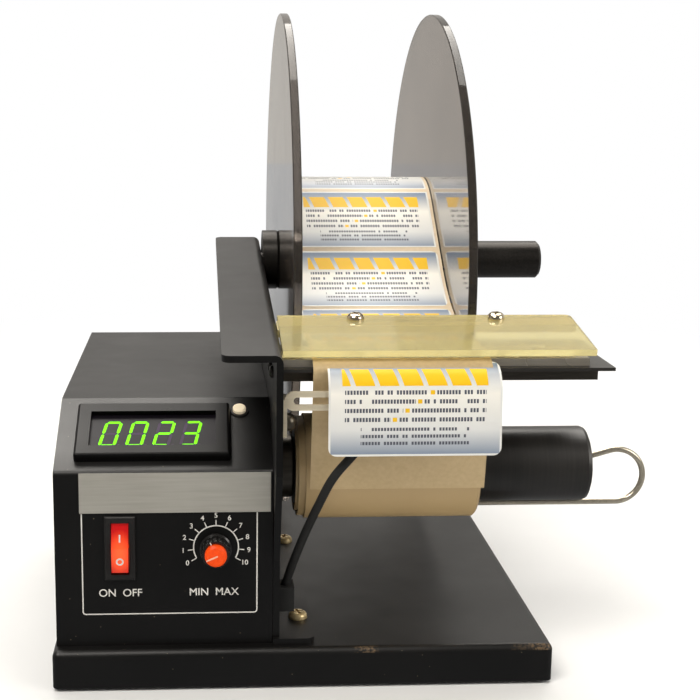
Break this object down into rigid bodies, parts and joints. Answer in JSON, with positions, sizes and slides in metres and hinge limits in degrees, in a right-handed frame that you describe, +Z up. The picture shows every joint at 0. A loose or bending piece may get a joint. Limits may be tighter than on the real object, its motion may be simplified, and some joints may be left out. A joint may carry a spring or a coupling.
{
  "type": "label dispenser machine",
  "caption": "Bench-top label dispenser: reel with clear discs, peel table under a clear cover, label sensor, driven liner take-up and a control box on a folded base.",
  "frame": {"origin": "on the bench under the feet, midway between the outermost points left to right and front to back", "axes": "+X to the operator's right along the reel shaft, +Y to the back (label feeds to -Y), +Z up"},
  "size_m": [0.279, 0.3508, 0.3105],
  "materials": {
    "black_paint": "satin black baked paint on steel",
    "black_plate": "satin black paint on aluminium plate",
    "rubber": "matt black rubber",
    "screw_steel": "plated steel",
    "dark_screw": "black oxide steel",
    "chrome": "domed chrome-plated screws",
    "clear_disc": "clear smoked acrylic, polished",
    "clear_cover": "clear pale green acrylic, polished",
    "steel_bar": "turned steel",
    "aluminium": "satin aluminium",
    "black_plastic": "matt black plastic",
    "gloss_black": "glossy black plastic",
    "display": "dark display window",
    "red_lens": "lit red rocker",
    "orange": "orange cap",
    "beige": "beige plastic",
    "silver_bar": "brushed silver strip, left bare",
    "label_paper": "white labels with pale blue and gold print",
    "liner_paper": "brown glazed liner paper",
    "card": "card core",
    "green_board": "green circuit board",
    "copper": "wound copper under tape",
    "brass": "brass contacts"
  },
  "bodies": {
    "machine": {"base_plate": "black_paint", "rubber_feet": "rubber", "side_plate": "black_plate", "side_plate_screws": "screw_steel", "control_housing": "black_paint", "housing_screws": "dark_screw", "housing_rear_panel": "black_paint", "power_inlet": "black_plastic", "inlet_pins": "brass", "fuse_holder": "black_plastic", "counter_bezel": "gloss_black", "counter_window": "display", "counter_body": "black_plastic", "reset_collar": "black_plastic", "reset_switch_body": "black_plastic", "name_bar": "silver_bar", "rocker_frame": "black_plastic", "potentiometer": "screw_steel", "gearbox": "aluminium", "drive_motor": "screw_steel", "circuit_board": "green_board", "board_standoffs": "aluminium", "board_parts": "black_plastic", "transformer_core": "steel_bar", "transformer_winding": "copper", "takeup_bearing": "aluminium", "reel_shaft": "steel_bar", "shaft_collar": "steel_bar", "inner_disc": "clear_disc", "peel_table": "black_plate", "table_bar": "black_plate", "table_bar_screws": "dark_screw", "peel_bar": "clear_cover", "clear_cover": "clear_cover", "cover_bar": "clear_cover", "cover_screws": "chrome", "label_web": "label_paper", "liner_return": "liner_paper", "peeled_label": "label_paper", "sensor_bracket": "aluminium", "bracket_screw": "dark_screw", "sensor_cable": "rubber", "cable_boot": "black_plastic"},
    "takeup": {"drive_shaft": "steel_bar", "takeup_roller": "gloss_black", "liner_roll": "liner_paper"},
    "clip": {"wire_clip": "steel_bar"},
    "supply": {"label_core": "card", "label_roll": "label_paper"},
    "disc": {"outer_disc": "clear_disc", "outer_hub": "aluminium"},
    "thumb": {"thumb_screw": "black_plastic"},
    "rocker": {"power_rocker": "red_lens"},
    "knob": {"position_knob": "black_plastic", "knob_cap": "orange", "knob_shaft": "screw_steel"},
    "button": {"reset_button": "beige"},
    "sensor": {"label_sensor": "black_plastic", "sensor_lens": "red_lens", "sensor_screw": "screw_steel"}
  },
  "joints": [
    {"name": "takeup_spin", "type": "hinge", "parent": "machine", "child": "takeup", "pos_m": [-0.03645, -0.13035, 0.0952], "axis": [1, 0, 0], "continuous": true},
    {"name": "supply_spin", "type": "hinge", "parent": "machine", "child": "supply", "pos_m": [-0.03645, 0.03565, 0.1708], "axis": [1, 0, 0], "continuous": true},
    {"name": "clip_slide", "type": "slide", "parent": "takeup", "child": "clip", "axis": [1, 0, 0], "range_m": [0, 0.09]},
    {"name": "disc_slide", "type": "slide", "parent": "machine", "child": "disc", "axis": [1, 0, 0], "range_m": [0, 0.038]},
    {"name": "thumb_turn", "type": "hinge", "parent": "disc", "child": "thumb", "pos_m": [0.07835, 0.01833, 0.1608], "axis": [0, -0.866, -0.5], "range_deg": [0, 360]},
    {"name": "rocker_tilt", "type": "hinge", "parent": "machine", "child": "rocker", "pos_m": [-0.10845, -0.15585, 0.0656], "axis": [1, 0, 0], "range_deg": [0, 12]},
    {"name": "knob_turn", "type": "hinge", "parent": "machine", "child": "knob", "pos_m": [-0.06555, -0.16535, 0.0651], "axis": [0, 1, 0], "range_deg": [-96, 144]},
    {"name": "reset_press", "type": "slide", "parent": "machine", "child": "button", "axis": [0, 0.4535, -0.8913], "range_m": [0, 0.0012], "stiffness_N_per_m": 400, "springref_m": -0.001},
    {"name": "sensor_slide", "type": "slide", "parent": "machine", "child": "sensor", "axis": [1, 0, 0], "range_m": [-0.03, 0.013], "deforming": ["sensor_cable"]}
  ],
  "couplings": [
    {"joint": "supply_spin", "follows": "takeup_spin", "ratio": 0.50833}
  ]
}
